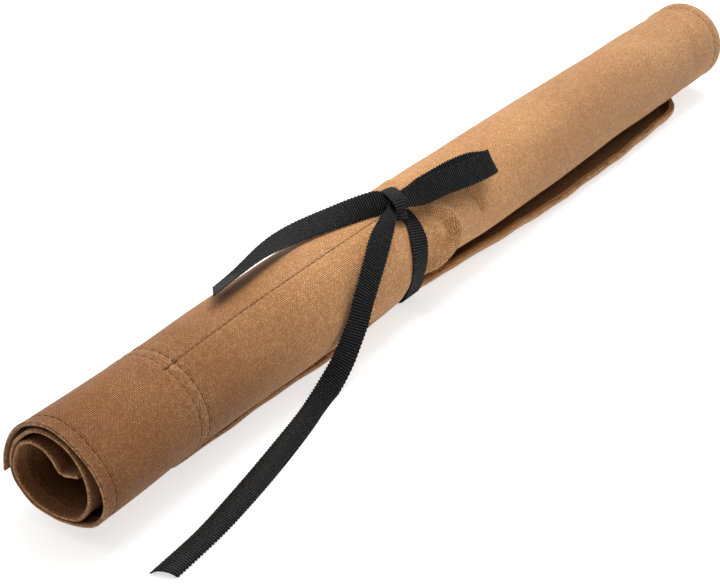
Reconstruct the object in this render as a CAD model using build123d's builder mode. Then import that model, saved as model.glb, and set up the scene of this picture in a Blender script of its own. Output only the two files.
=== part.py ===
from build123d import *
from math import cos, pi, radians, sin, tan
import os

# A rolled-up tool roll of waxed canvas, tied round its middle with a ribbon. Millimetres.
# X runs along the roll, -X is the end with the pocket seam, and z = 0 is what it lies on.

# ---------------------------------------------------------------- driving dimensions
roll_length = 464.0        # width of the canvas panel, along the roll
roll_radius = 22.0         # outer face of the outermost turn
cloth = 0.65               # one layer of canvas
half_turn_step = 1.3       # how much tighter each half turn is than the one outside it
half_turns = 5
outer_edge_angle = -15.0   # where the panel's outer edge lies, from +Y towards +Z
layer_gap = 0.05           # air between two layers that are sewn together

hem_width = 8.0            # turned edge of the canvas
stitch_inset = 5.5         # a hem's stitch row, from the edge
thread = 0.5               # width of a row of stitching
thread_rise = 0.12         # how far a row of stitching stands out of the canvas
pocket_bottom = 49.0       # first bottom seam of the pockets, from the -X end
pocket_seam_pitch = 4.8    # between the two rows of the bottom seam
pocket_depth = 170.0
pocket_pitch = 48.0        # between the seams that divide the pockets
first_divider = 47.0       # first dividing seam, along the canvas from its outer edge

flap_start = 48.0          # ends of the tie flap, from the -X end
flap_stop = 428.0
flap_cloth = 1.3           # the flap is a doubled layer
flap_flat = 7.0            # flat stretch that lies on the floor, from the roll's middle
flap_lip_radius = 15.0     # curl of the flap's free edge
flap_lip_turn = 38.0

ribbon_width = 10.0
ribbon = 0.45              # thickness of the ribbon
ribbon_gap = 0.2           # air under the ribbon, for the stitching that it crosses
wrap_place = -42.0         # middle of the ribbon's turn round the roll
knot_angle = 100.0         # the knot sits just off the top, on the pocket seams' side
knot_length = 15.0
knot_width = 14.0
knot_height = 7.0
anchor_size = 7.0          # square of stitching that holds the ribbon, on the back

# A free end of the ribbon is a round cord with the ribbon's own cross-section area.
cord_radius = (ribbon_width * ribbon / pi) ** 0.5

# ---------------------------------------------------------------- worked out from them
flap_radius = roll_radius - cloth + flap_cloth     # outer face of the flap, under the roll
roll_height = flap_radius                          # height of the roll's axis
near_end = -roll_length / 2
far_end = roll_length / 2
last_angle = 180.0 * half_turns                    # the canvas's inner edge, along the spiral
canvas_arc = pi / 180 * roll_radius                # canvas used by one degree of the outer turn
hem_angle = hem_width / canvas_arc
inner_radius = roll_radius - half_turn_step * (half_turns - 1)
inner_hem_angle = hem_width / (pi / 180 * inner_radius)
second_layer = -cloth - layer_gap                  # outer face of a layer sewn inside the first
third_layer = 2 * second_layer
pocket_start = near_end + pocket_bottom
pocket_stop = pocket_start + pocket_depth

os.makedirs("parts", exist_ok=True)


def save(builder, name):
    """Labels a finished piece and writes it to a file of its own."""
    builder.part.label = name
    export_step(builder.part, f"parts/{name}.step")
    print(f"{name:28s} {builder.part.volume:10.1f} mm3")


def on_circle(radius, angle):
    """A point in the roll's cross-section, round the outermost half turn's centre."""
    return Vector(radius * cos(radians(angle)), roll_height + radius * sin(radians(angle)))


def half_turn_centre(number):
    """The spiral is half circles about two centres in turn, one step apart."""
    if number % 2 == 0:
        return on_circle(0, 0)
    return on_circle(half_turn_step, outer_edge_angle + 180)


def spiral_profile(place, first, last, low, high):
    """Cross-section of a layer: from angle first to last along the canvas, counted from its
    outer edge, and from low to high, counted outwards from the main panel's outer face."""
    with BuildSketch(Plane.YZ.offset(place)) as profile:
        with BuildLine():
            for offset in (low, high):
                for number in range(half_turns):
                    start = max(first, 180.0 * number)
                    stop = min(last, 180.0 * (number + 1))
                    if start < stop:
                        radius = roll_radius - half_turn_step * number + offset
                        CenterArc(
                            half_turn_centre(number), radius, outer_edge_angle + start, stop - start
                        )
            for angle in (first, last):
                number = min(int(angle // 180), half_turns - 1)
                centre = half_turn_centre(number)
                spoke = Vector(
                    cos(radians(outer_edge_angle + angle)), sin(radians(outer_edge_angle + angle))
                )
                radius = roll_radius - half_turn_step * number
                Line(centre + spoke * (radius + low), centre + spoke * (radius + high))
        make_face()
    return profile.sketch


def flap_profile(place, low, high, first=0.0, last=1.0):
    """Cross-section of the tie flap: round the roll's underside, flat on the floor, then curled
    up at its free edge. low and high count inwards from the flap's outer face."""
    lip_centre = Vector(-flap_flat, flap_lip_radius)
    lip_start = flap_lip_turn * first
    lip_stop = flap_lip_turn * last
    with BuildSketch(Plane.YZ.offset(place)) as profile:
        with BuildLine():
            for depth in (low, high):
                if first == 0:
                    CenterArc(
                        on_circle(0, 0), flap_radius - depth, outer_edge_angle, -90 - outer_edge_angle
                    )
                    Line((0, depth), (-flap_flat, depth))
                CenterArc(lip_centre, flap_lip_radius - depth, -90 - lip_start, lip_start - lip_stop)
            if first == 0:
                Line(
                    on_circle(flap_radius - low, outer_edge_angle),
                    on_circle(flap_radius - high, outer_edge_angle),
                )
            else:
                spoke = Vector(-sin(radians(lip_start)), -cos(radians(lip_start)))
                Line(
                    lip_centre + spoke * (flap_lip_radius - low),
                    lip_centre + spoke * (flap_lip_radius - high),
                )
            spoke = Vector(-sin(radians(lip_stop)), -cos(radians(lip_stop)))
            Line(
                lip_centre + spoke * (flap_lip_radius - low),
                lip_centre + spoke * (flap_lip_radius - high),
            )
        make_face()
    return profile.sketch


# ---------------------------------------------------------------- canvas
with BuildPart() as main_panel:
    extrude(spiral_profile(near_end, 0, last_angle, -cloth, 0), amount=roll_length)
save(main_panel, "main_panel")

for name, place in (("near_hem", near_end), ("far_hem", far_end - hem_width)):
    with BuildPart() as end_hem:
        extrude(
            spiral_profile(place, 0, last_angle, second_layer - cloth, second_layer), amount=hem_width
        )
    save(end_hem, name)

side_hem_length = roll_length - 2 * (hem_width + layer_gap)
side_hems = (
    ("outer_edge_hem", 0, hem_angle),
    ("inner_edge_hem", last_angle - inner_hem_angle, last_angle),
)
for name, first, last in side_hems:
    with BuildPart() as side_hem:
        extrude(
            spiral_profile(-side_hem_length / 2, first, last, second_layer - cloth, second_layer),
            amount=side_hem_length,
        )
    save(side_hem, name)

pocket_first = hem_angle + 1.0
pocket_last = last_angle - inner_hem_angle - 1.0
with BuildPart() as pocket_panel:
    extrude(
        spiral_profile(pocket_start, pocket_first, pocket_last, second_layer - cloth, second_layer),
        amount=pocket_depth,
    )
save(pocket_panel, "pocket_panel")

with BuildPart() as pocket_top_hem:
    extrude(
        spiral_profile(
            pocket_stop - hem_width, pocket_first, pocket_last, third_layer - cloth, third_layer
        ),
        amount=hem_width,
    )
save(pocket_top_hem, "pocket_top_hem")

# The flap is doubled canvas. Its outer layer is pressed in where the ribbon goes round it.
groove_width = ribbon_width + 0.6
with BuildPart() as tie_flap:
    extrude(flap_profile(near_end + flap_start, 0, flap_cloth), amount=flap_stop - flap_start)
    extrude(
        flap_profile(wrap_place - groove_width / 2, 0, cloth),
        amount=groove_width,
        mode=Mode.SUBTRACT,
    )
save(tie_flap, "tie_flap")

# ---------------------------------------------------------------- stitching
stitch_low = layer_gap / 2
stitch_high = stitch_low + thread_rise

ring_rows = (
    ("near_hem_thread", near_end + stitch_inset, 0, last_angle),
    ("far_hem_thread", far_end - stitch_inset, 0, last_angle),
    ("pocket_seam_thread_1", pocket_start + thread, pocket_first, pocket_last),
    ("pocket_seam_thread_2", pocket_start + thread + pocket_seam_pitch, pocket_first, pocket_last),
)
for name, place, first, last in ring_rows:
    with BuildPart() as ring_row:
        extrude(
            spiral_profile(place - thread / 2, first + 1, last - 1, stitch_low, stitch_high),
            amount=thread,
        )
    save(ring_row, name)

with BuildPart() as pocket_top_thread:
    extrude(
        spiral_profile(
            pocket_stop - stitch_inset,
            pocket_first + 2,
            pocket_last - 2,
            third_layer - cloth - stitch_high,
            third_layer - cloth - stitch_low,
        ),
        amount=thread,
    )
save(pocket_top_thread, "pocket_top_thread")


def angle_along(distance):
    """The angle along the spiral that a distance along the canvas reaches."""
    number = 0
    while distance > pi * (roll_radius - half_turn_step * number):
        distance -= pi * (roll_radius - half_turn_step * number)
        number += 1
    return 180.0 * number + distance / (pi / 180 * (roll_radius - half_turn_step * number))


divider_start = pocket_start + pocket_seam_pitch + 2 * thread + layer_gap
divider_rows = 5
for number in range(divider_rows):
    angle = angle_along(first_divider + pocket_pitch * number)
    with BuildPart() as divider_row:
        extrude(
            spiral_profile(divider_start, angle, angle + thread / canvas_arc, stitch_low, stitch_high),
            amount=pocket_stop - divider_start,
        )
    save(divider_row, f"divider_thread_{number + 1}")

side_rows = (
    ("outer_edge_thread", stitch_inset / canvas_arc),
    ("inner_edge_thread", last_angle - inner_hem_angle * stitch_inset / hem_width),
)
side_row_length = roll_length - 2 * (stitch_inset + thread)
for name, angle in side_rows:
    with BuildPart() as side_row:
        extrude(
            spiral_profile(
                -side_row_length / 2, angle, angle + thread / canvas_arc, stitch_low, stitch_high
            ),
            amount=side_row_length,
        )
    save(side_row, name)

with BuildPart() as flap_hem_thread:
    extrude(
        flap_profile(
            near_end + flap_start + stitch_inset, flap_cloth + stitch_low, flap_cloth + stitch_high,
            first=0.40, last=0.45,
        ),
        amount=flap_stop - flap_start - 2 * stitch_inset,
    )
save(flap_hem_thread, "flap_hem_thread")

# ---------------------------------------------------------------- ribbon
# The turn round the roll lies on the panel, then goes down to the flap's lip and under it.
wrap_inner = roll_radius + ribbon_gap
lip_reach = flap_flat + (flap_lip_radius + 2 * cloth) * sin(radians(flap_lip_turn))
wrap_leave = 196.0


def wrap_outline(grow):
    """The closed outline of the ribbon's turn, grown outwards by grow."""
    with BuildSketch(Plane.YZ.offset(wrap_place - ribbon_width / 2)) as outline:
        with BuildLine():
            round_roll = CenterArc(
                on_circle(0, 0), wrap_inner + grow, -90, wrap_leave + 90
            )
            under = Line(round_roll @ 0, (-flap_flat, roll_height - wrap_inner - grow))
            lip = CenterArc(
                (-flap_flat, flap_lip_radius),
                flap_lip_radius - roll_height + wrap_inner + grow,
                -90,
                -flap_lip_turn,
            )
            corner = JernArc(lip @ 1, lip % 1, 1.2 + grow, -50)
            Line(corner @ 1, round_roll @ 1)
        make_face()
    return outline.sketch


with BuildPart() as ribbon_wrap:
    extrude(wrap_outline(ribbon), amount=ribbon_width)
    extrude(wrap_outline(0), amount=ribbon_width, mode=Mode.SUBTRACT)
save(ribbon_wrap, "ribbon_wrap")

# The knot: a soft block of folded ribbon on the outside of the turn.
knot_centre = on_circle(wrap_inner + ribbon + layer_gap + knot_height / 2, knot_angle)
knot_plane = Plane(
    origin=(wrap_place + 1.5, knot_centre.X, knot_centre.Y),
    x_dir=(1, 0, 0),
    z_dir=(0, cos(radians(knot_angle)), sin(radians(knot_angle))),
)
with BuildPart() as ribbon_knot:
    with BuildSketch(knot_plane.offset(-knot_height / 2)):
        RectangleRounded(knot_length, knot_width, 3)
    extrude(amount=knot_height)
    fillet(ribbon_knot.faces().sort_by(Axis(knot_plane.origin, knot_plane.z_dir))[-1].edges(), radius=2.5)
save(ribbon_knot, "ribbon_knot")

# The square of stitching that holds the ribbon to the roll, at the back.
with BuildPart() as ribbon_anchor_thread:
    with BuildSketch(Plane.XZ.offset(-wrap_inner - ribbon - 1)):
        with Locations((wrap_place, roll_height)):
            Rectangle(anchor_size, anchor_size)
            Rectangle(anchor_size - 2 * thread, anchor_size - 2 * thread, mode=Mode.SUBTRACT)
    extrude(amount=2)
    with BuildSketch(Plane.YZ.offset(wrap_place - anchor_size)):
        with Locations(on_circle(0, 0)):
            Circle(wrap_inner + ribbon + layer_gap + thread_rise)
            Circle(wrap_inner + ribbon + layer_gap, mode=Mode.SUBTRACT)
    extrude(amount=2 * anchor_size, mode=Mode.INTERSECT)
save(ribbon_anchor_thread, "ribbon_anchor_thread")

# The bow's loop: the ribbon runs out from the knot, folds and comes back over itself.
loop_root = Vector(-30.6, -3.4, 48.4)
loop_end = Vector(21.0, -12.6, 45.8)
loop_angle = 112.0         # the way the loop's outer face looks, from +Y towards +Z
loop_fold = 2.6            # radius of its fold, at the middle of the ribbon
loop_run = loop_end - loop_root
loop_out = Vector(0, cos(radians(loop_angle)), sin(radians(loop_angle)))
loop_plane = Plane(origin=loop_root, x_dir=loop_run, z_dir=loop_run.cross(loop_out))
with BuildPart() as ribbon_loop:
    with BuildSketch(loop_plane):
        with BuildLine():
            for radius in (loop_fold - ribbon / 2, loop_fold + ribbon / 2):
                Line((0, loop_fold - radius), (loop_run.length, loop_fold - radius))
                CenterArc((loop_run.length, loop_fold), radius, -90, 180)
                Line((0, loop_fold + radius), (loop_run.length, loop_fold + radius))
            for height in (0, 2 * loop_fold):
                Line((0, height - ribbon / 2), (0, height + ribbon / 2))
        make_face()
    extrude(amount=ribbon_width / 2, both=True)
save(ribbon_loop, "ribbon_loop")

# ---------------------------------------------------------------- the ribbon's free ends
# The points of each route, chosen by hand: the short end over the back of the roll, and the
# long end down the front and along the floor.
back_tail_route = [
    (-50.6, -2.4, 50.4), (-59, 0.4, 50.8), (-69, 4.4, 50.4), (-81, 6.6, 49.4), (-94, 10.2, 48.2),
    (-107, 11.6, 46.8), (-120, 11.8, 47.0), (-131, 10.2, 47.4), (-139, 9.4, 48.4),
]
front_tail_route = [
    (-44.5, -13.4, 46.6), (-50, -18.4, 42.4), (-58, -22.6, 37.6), (-68, -25.6, 31.8),
    (-79, -27.6, 25.4), (-91, -28.6, 17.6), (-103, -29.4, 9.8), (-117, -29.6, 4.4),
    (-135, -30.8, 1.8), (-156, -33.2, 1.7), (-178, -36.2, 1.7), (-200, -39.0, 1.7),
    (-219, -42.8, 1.7), (-233, -45.0, 1.7),
]


def corner_radii(route):
    """The largest arc that each corner of a route has room for."""
    radii = []
    for before, corner, after in zip(route, route[1:], route[2:]):
        run_in = Vector(corner) - Vector(before)
        run_out = Vector(after) - Vector(corner)
        half_angle = radians(run_in.get_angle(run_out)) / 2
        radii.append(0.45 * min(run_in.length, run_out.length) / tan(half_angle))
    return radii


free_ends = {
    "ribbon_back_tail": back_tail_route,
    "ribbon_front_tail": front_tail_route,
}
for name, route in free_ends.items():
    radii = corner_radii(route)
    with BuildPart() as free_end:
        with BuildLine() as path:
            FilletPolyline(*route, radius=radii)
        with BuildSketch(Plane(origin=path.line @ 0, z_dir=path.line % 0)):
            Circle(cord_radius)
        sweep()
    save(free_end, name)
    length = path.wire().length
    expected = pi * cord_radius**2 * length
    print(f"  length {length:.1f} mm, volume over section times length "
          f"{free_end.part.volume / expected:.3f}, lowest {free_end.part.bounding_box().min.Z:.2f}")
    print("  radii", " ".join(f"{radius:.1f}" for radius in radii))
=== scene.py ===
"""A rolled-up tool roll of waxed canvas, tied with a grosgrain ribbon in a half bow.

The roll lies along X. The near end is at -X, the tie flap's free edge is on the -Y side, and the
floor is z = 0. Shapes are worked out in millimetres and scaled to metres as meshes are made.
"""
import math
import bpy
import numpy as np
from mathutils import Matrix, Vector


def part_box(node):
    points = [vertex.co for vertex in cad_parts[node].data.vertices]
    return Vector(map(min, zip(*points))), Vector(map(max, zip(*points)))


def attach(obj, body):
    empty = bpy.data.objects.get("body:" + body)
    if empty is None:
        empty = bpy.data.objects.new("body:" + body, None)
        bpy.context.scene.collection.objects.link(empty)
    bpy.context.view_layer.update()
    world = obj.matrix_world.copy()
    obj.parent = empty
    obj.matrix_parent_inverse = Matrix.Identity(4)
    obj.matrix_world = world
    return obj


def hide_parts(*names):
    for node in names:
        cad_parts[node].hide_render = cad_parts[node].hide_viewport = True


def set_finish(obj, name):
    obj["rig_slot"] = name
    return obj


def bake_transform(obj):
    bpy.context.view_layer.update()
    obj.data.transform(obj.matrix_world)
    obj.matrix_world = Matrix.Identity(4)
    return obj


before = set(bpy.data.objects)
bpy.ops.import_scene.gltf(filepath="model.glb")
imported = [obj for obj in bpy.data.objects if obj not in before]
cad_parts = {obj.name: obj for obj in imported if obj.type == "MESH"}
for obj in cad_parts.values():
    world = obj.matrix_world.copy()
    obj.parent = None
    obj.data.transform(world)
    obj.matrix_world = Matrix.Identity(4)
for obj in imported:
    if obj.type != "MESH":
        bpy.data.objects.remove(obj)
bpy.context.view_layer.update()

MM = 0.001

# ------------------------------------------------------------------ sizes, in millimetres
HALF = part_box("main_panel")[1].x / MM    # half the roll's length
AXIS = 22.4                              # height of the roll's axis
CLOTH = 0.65                             # one layer of canvas
GAP = 0.04                               # between two layers that are sewn together
HEM = 8.0                                # width of a turned edge
FOLD = 2.0                               # how far the panel itself turns round its own edge
INSET = 5.5                              # a hem's stitch row, from the edge
STITCH = 3.1                             # pitch of the stitches
YARN = 0.00067                           # pitch of the canvas's yarns, in metres
POCKET_SEAMS = (-181.5, -176.9)          # the two rows of the pockets' bottom seam
POCKET_TOP = -13.0
DIVIDERS = (47.0, 95.0, 143.0, 191.0, 239.0)   # along the canvas, from its outer edge
OUTER_EDGE = -15.0                       # angle of the panel's outer edge, from +Y towards +Z
BODY_RADIUS = 22.8
ROUND_RADIUS = 22.5                      # turns angles into lengths round the outer turn
TURN = 135.0                             # canvas in one turn
LOOSE = 105.0                            # how far in the near end's looser shape reaches
FLAP_ROOM = 1.75                         # for the tie flap, under the roll
BODY_STEP = 1.45                         # how much tighter each half turn is
RIBBON = 10.0
RIBBON_THICK = 0.45
RIB = 1.07                               # pitch of the ribbon's cross ribs
WRAP_X = -42.0
CLOSEST = 0.05                           # two rows of a mesh's vertices are never closer
HIDDEN_STEPS = (2.4, 4.0)                # between a hidden layer's vertices, round the roll and along it

# Where the roll is fatter and thinner: distance from its middle over its half length, radius.
PROFILE = (
    (-1.0, 21.0), (-0.8, 21.2), (-0.6, 21.8), (-0.4, 22.7), (-0.1, 22.9), (0.16, 22.6), (0.4, 22.2),
    (0.74, 21.3), (0.88, 20.7), (1.0, 20.9),
)

# The near end's own shape, which is looser: angle and radius of the canvas's outer face, from its
# free edge at the back, twice round, and in to the tongue that bends across the middle. Most of
# these numbers were measured on the photograph and turned into angles and radii by another script.
NEAR_END = (
    (-15, 24.2), (4, 22.3), (30, 20.8), (56, 20.2), (84, 19.9), (107, 19.4), (132, 19.6),
    (153, 21.0), (173, 22.4), (191, 23.0), (208, 22.2), (222, 20.9), (240, 18.8), (262, 17.7),
    (278, 17.7), (305, 19.3), (329, 20.3), (344, 20.4), (360, 19.5), (374, 18.7), (390, 18.0),
    (419, 17.5), (443, 17.1), (473, 16.5), (501, 16.0), (531, 16.0), (560, 16.6), (586, 16.9),
    (601, 16.7), (622, 16.1), (640, 16.2), (665, 17.5), (690, 18.8), (709, 18.9), (721, 18.0),
    (733, 17.1), (744, 16.7), (756, 15.6), (770, 14.1), (779, 12.6), (793, 10.7), (808, 8.5),
    (826, 6.7), (844, 5.4), (863, 6.0), (871, 9.0), (875, 12.6),
)


# ------------------------------------------------------------------ curves
def smooth_curve(points, spacing):
    """A Catmull-Rom curve through the points, as evenly spaced points. Columns after the first
    three are carried along."""
    points = np.asarray(points, float)
    padded = np.vstack([2 * points[0] - points[1], points, 2 * points[-1] - points[-2]])
    found = []
    for a, b, c, d in zip(padded, padded[1:], padded[2:], padded[3:]):
        t = np.linspace(0, 1, 40, endpoint=False)[:, None]
        found.append(
            0.5 * (2 * b + (c - a) * t + (2 * a - 5 * b + 4 * c - d) * t**2
                   + (3 * b - a - 3 * c + d) * t**3)
        )
    return resample(np.vstack(found + [points[-1:]]), spacing)


def distances(points):
    """The distance along a line of points, at each point."""
    steps = np.diff(points[:, :3], axis=0)
    return np.concatenate([[0], np.cumsum(np.linalg.norm(steps, axis=1))])


def resample(points, spacing):
    """The same line with evenly spaced points."""
    along = distances(points)
    count = max(2, int(round(along[-1] / spacing)) + 1)
    even = np.linspace(0, along[-1], count)
    return np.stack([np.interp(even, along, axis) for axis in points.T], axis=1)


def nurbs_line(points, spacing):
    """A NURBS spline with these control points, in millimetres, as evenly spaced points."""
    data = bpy.data.curves.new("route", "CURVE")
    data.dimensions = "3D"
    data.resolution_u = 24
    spline = data.splines.new("NURBS")
    spline.points.add(len(points) - 1)
    for place, point in zip(spline.points, points):
        place.co = (point[0] * MM, point[1] * MM, point[2] * MM, 1)
    spline.order_u = 3
    spline.use_endpoint_u = True
    holder = bpy.data.objects.new("route", data)
    bpy.context.scene.collection.objects.link(holder)
    bpy.context.view_layer.update()
    mesh = bpy.data.meshes.new_from_object(holder)
    line = np.array([vertex.co for vertex in mesh.vertices]) / MM
    bpy.data.objects.remove(holder)
    bpy.data.curves.remove(data)
    bpy.data.meshes.remove(mesh)
    return resample(line, spacing)


def look_up(place, table):
    """The value at a place in a table of (place, value) pairs, with straight lines between them."""
    return np.interp(place, *zip(*table))


def smoothstep(value):
    value = np.clip(value, 0, 1)
    return value * value * (3 - 2 * value)


def bump(distance, size):
    return np.exp(-((distance / size) ** 2))


# ------------------------------------------------------------------ meshes
def shell(name, a_values, b_values, point, top, bottom, wear_and_painted_light=None, place=None):
    """A closed sheet over a grid of a and b. point(a, b, offset) places it, and top and bottom
    give the offsets of its two faces, which round off into each other at its edges.
    wear_and_painted_light(a, b) says where the cloth is lightened, by rubbing and painted highlight,
    and where, below zero, painted shade darkens it; place(a, b) says where it lies on the cloth if
    that isn't (a, b). Both are for the material."""
    a, b = np.meshgrid(np.asarray(a_values, float), np.asarray(b_values, float), indexing="ij")
    high = top(a, b) + np.zeros_like(a)
    low = bottom(a, b) + np.zeros_like(a)
    middle = (high + low) / 2
    half = (high - low) / 2
    inside = np.minimum(
        np.minimum(a - a.min(), a.max() - a), np.minimum(b - b.min(), b.max() - b)
    )
    rounding = np.sqrt(np.clip(1 - (1 - np.clip(inside / half, 0, 1)) ** 2, 0, 1))
    rows, columns = a.shape
    upper = point(a, b, middle + half * rounding)
    lower = point(a, b, middle - half * rounding)
    index = np.arange(rows * columns).reshape(rows, columns)
    border = np.zeros((rows, columns), bool)
    border[[0, -1], :] = True
    border[:, [0, -1]] = True
    under = np.where(border, index, 0)
    under[~border] = rows * columns + np.arange((~border).sum())
    vertices = np.vstack([upper.reshape(-1, 3), lower[~border]]) * MM
    above = np.stack([index[:-1, :-1], index[1:, :-1], index[1:, 1:], index[:-1, 1:]], -1)
    below = np.stack([under[:-1, :-1], under[:-1, 1:], under[1:, 1:], under[1:, :-1]], -1)
    faces = np.vstack([above.reshape(-1, 4), below.reshape(-1, 4)])
    outward = np.cross(upper[1:, :-1] - upper[:-1, :-1], upper[:-1, 1:] - upper[:-1, :-1])
    if (outward * (upper - lower)[:-1, :-1]).sum() < 0:
        faces = faces[:, ::-1]
    grid = np.stack([a, b] if place is None else place(a, b), -1)
    places = np.vstack([grid.reshape(-1, 2), grid[~border]]) * MM
    piece = mesh_object(name, vertices, faces, places)
    if wear_and_painted_light is not None:
        rubbing_highlight_and_shade = wear_and_painted_light(a, b) + np.zeros_like(a)
        # The attribute holds rubbing and painted highlight above zero and painted shade below; the lower
        # face gets all of the painted shade and 0.4 of the rest.
        layer = piece.data.attributes.new("wear_and_painted_light", "FLOAT", "POINT")
        layer.data.foreach_set("value", np.concatenate([
            rubbing_highlight_and_shade.ravel(), np.where(rubbing_highlight_and_shade < 0, 1, 0.4)[~border] * rubbing_highlight_and_shade[~border]
        ]))
    return piece


def mesh_object(name, vertices, faces, places=None):
    """A smooth-shaded mesh object, with each vertex's place on the cloth as its UV."""
    mesh = bpy.data.meshes.new(name)
    mesh.from_pydata(vertices.tolist(), [], faces.tolist())
    if places is not None:
        layer = mesh.uv_layers.new(name="cloth")
        corners = np.empty(len(mesh.loops), np.int32)
        mesh.loops.foreach_get("vertex_index", corners)
        layer.data.foreach_set("uv", places[corners].astype(np.float32).ravel())
    mesh.shade_smooth()
    mesh.update()
    piece = bpy.data.objects.new(name, mesh)
    bpy.context.scene.collection.objects.link(piece)
    return piece


def edge_dense(low, high, step, extra=()):
    """Values from low to high, closer together at both ends and round each extra value."""
    near = np.array([0, 0.06, 0.16, 0.32, 0.5, 0.66, 0.95, 1.4, 1.8, 2.2, 2.8])
    values = list(np.linspace(low, high, max(2, int((high - low) / step) + 1)))
    values += list(low + near) + list(high - near)
    for place in extra:
        values += list(place + np.array([-1.6, -1.0, -0.6, -0.3, 0, 0.3, 0.6, 1.0, 1.6]))
    values = np.unique(np.round([v for v in values if low <= v <= high], 4))
    keep = [values[0]]
    for value in values[1:]:
        if value - keep[-1] > CLOSEST or value == values[-1]:
            keep.append(value)
    return np.array(keep)


def merged(*parts):
    """The values of all the parts in order, without those too close to the one before."""
    values = np.unique(np.concatenate(parts))
    return values[np.concatenate([[True], np.diff(values) > CLOSEST])]


# ------------------------------------------------------------------ the rolled canvas
def near_section():
    """The near end's outline in the YZ plane, round the roll's axis."""
    angles = np.radians([angle for angle, radius in NEAR_END])
    radii = np.array([radius for angle, radius in NEAR_END])
    return smooth_curve(np.stack([radii * np.cos(angles), radii * np.sin(angles)], 1), 0.5)


def body_section(length):
    """A plain spiral with the same length of canvas."""
    angles = np.linspace(0, 1000, 4000)
    radii = BODY_RADIUS - BODY_STEP * angles / 180
    turn = np.radians(angles + OUTER_EDGE)
    line = np.stack([radii * np.cos(turn), radii * np.sin(turn)], 1)
    along = distances(line)
    keep = along <= length
    return resample(line[keep], 0.5)


NEAR = near_section()
NEAR_ALONG = distances(NEAR)
CANVAS = NEAR_ALONG[-1]                  # length of canvas that is rolled up
BODY = body_section(CANVAS)
BODY_ALONG = distances(BODY)
print("canvas rolled up:", round(CANVAS, 1), "mm")


def roll_radius(x):
    profile = [(place * HALF, radius) for place, radius in PROFILE]
    spread = 14.0
    return sum(look_up(x + shift * spread, profile) for shift in (-1, -0.5, 0, 0.5, 1)) / 5


def angle_at(s):
    """The angle round the roll, in degrees, of a distance along the canvas's outer turn."""
    return np.degrees(s / ROUND_RADIUS) + OUTER_EDGE


def length_at(angle):
    """The distance along the canvas's outer turn at this angle, in degrees."""
    return math.radians(angle - OUTER_EDGE) * ROUND_RADIUS


def outer_turn(s):
    """1 on the canvas's outer turn, and 0 on the turns inside it."""
    return 1 - smoothstep((s - 126) / 12)


def in_pockets(x):
    """1 between the pockets' bottom seam and their top edge, and 0 past them."""
    return smoothstep((x - POCKET_SEAMS[0]) / 2) * smoothstep((POCKET_TOP - x) / 4)


# Soft dents and swellings of the outer turn: x, angle, length along the roll, length round it,
# slant in degrees, and height.
SOFT_FOLDS = (
    (-27.0, 120, 12.0, 5.0, -20, -0.7),
    (-52.0, 150, 8.0, 9.0, 25, -0.5),
    (-58.0, 178, 13.0, 6.0, 30, 0.5),
    (-27.0, 60, 14.0, 5.0, 35, 0.5),
    (-58.0, 50, 12.0, 5.0, -30, -0.5),
    (-14.0, 62, 9.0, 8.0, 0, -0.5),
    (22.0, 138, 16.0, 6.0, -30, -0.45),
    (60.0, 152, 60.0, 7.0, 4, -0.35),
    (95.0, 128, 24.0, 5.0, 12, 0.30),
    (130.0, 112, 70.0, 6.0, -3, 0.25),
    (150.0, 150, 26.0, 6.0, -14, -0.35),
    (176.0, 140, 12.0, 6.0, 30, 0.30),
    (-120.0, 140, 50.0, 7.0, 3, -0.25),
    (-205.0, 150, 18.0, 9.0, 20, -0.45),
    (-196.0, 118, 9.0, 7.0, 0, 0.30),
    (-150.0, 60, 40.0, 8.0, -5, 0.3),
    (90.0, 40, 60.0, 8.0, 5, -0.3),
)
# Sharper folds that the tight ribbon pulls in the cloth: the crest's x and angle along it, the
# crest's height and width, the depth, place and width of the valley beside it.
SHARP_FOLDS = (
    (((-27, 116), (-22.3, 130), (-19.0, 143), (-17.8, 156), (-18.6, 166), (-21.5, 174),
      (-26.5, 181), (-33.5, 189), (-40, 196)), 2.8, 1.7, -1.9, -4.4, 2.7),
    (((-3.0, 126), (-1.0, 136), (0.9, 146), (1.8, 156), (1.4, 164)), -1.7, 1.7, 0.8, 3.6, 2.2),
    (((-29.0, 147), (-30.6, 160), (-32.0, 172), (-34.0, 182)), 0.9, 1.3, -0.5, -3.2, 2.0),
    (((-50.0, 190), (-60.0, 184), (-74.0, 181), (-92.0, 180)), 0.5, 3.0, -0.35, -5.0, 3.5),
    (((-30.0, 84), (-24.0, 72), (-21.0, 60), (-20.0, 48)), 0.7, 2.8, -0.5, 5.5, 3.0),
    (((-50.0, 80), (-57.0, 66), (-60.0, 50)), 0.5, 3.0, -0.4, -5.0, 3.0),
)
# Past the ribbon the cloth is drawn flat on its lower front: x, and the flat's distance from the
# axis. The flat faces this way, in Y and Z.
FLAT_SIDE = (
    (-232, 30), (-62, 30), (-50, 24), (-40, 20.4), (-30, 17.6), (-20, 16.2), (-8, 17.0), (10, 18.2),
    (45, 18.9), (88, 19.2), (137, 18.9), (175, 20), (200, 23), (232, 30),
)
FLAT_WAY = (-0.66, -0.75)
# The soft ring near the far end, where the cloth sinks in before its stiff hem: angle and x.
FAR_RING = ((-60, 214), (20, 221), (62, 220), (87, 216), (111, 213), (151, 210), (176, 209), (300, 212))


def undulation(s, x):
    """Slow unevenness of the cloth, the same at every run."""
    return (
        0.10 * np.sin(x / 17.0 + s / 9.0) + 0.08 * np.sin(x / 31.0 - s / 13.0 + 1.3)
        + 0.06 * np.sin(x / 11.0 + s / 21.0 + 2.1) + 0.05 * np.sin(x / 7.3 - s / 6.1 + 0.4)
    )


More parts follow.
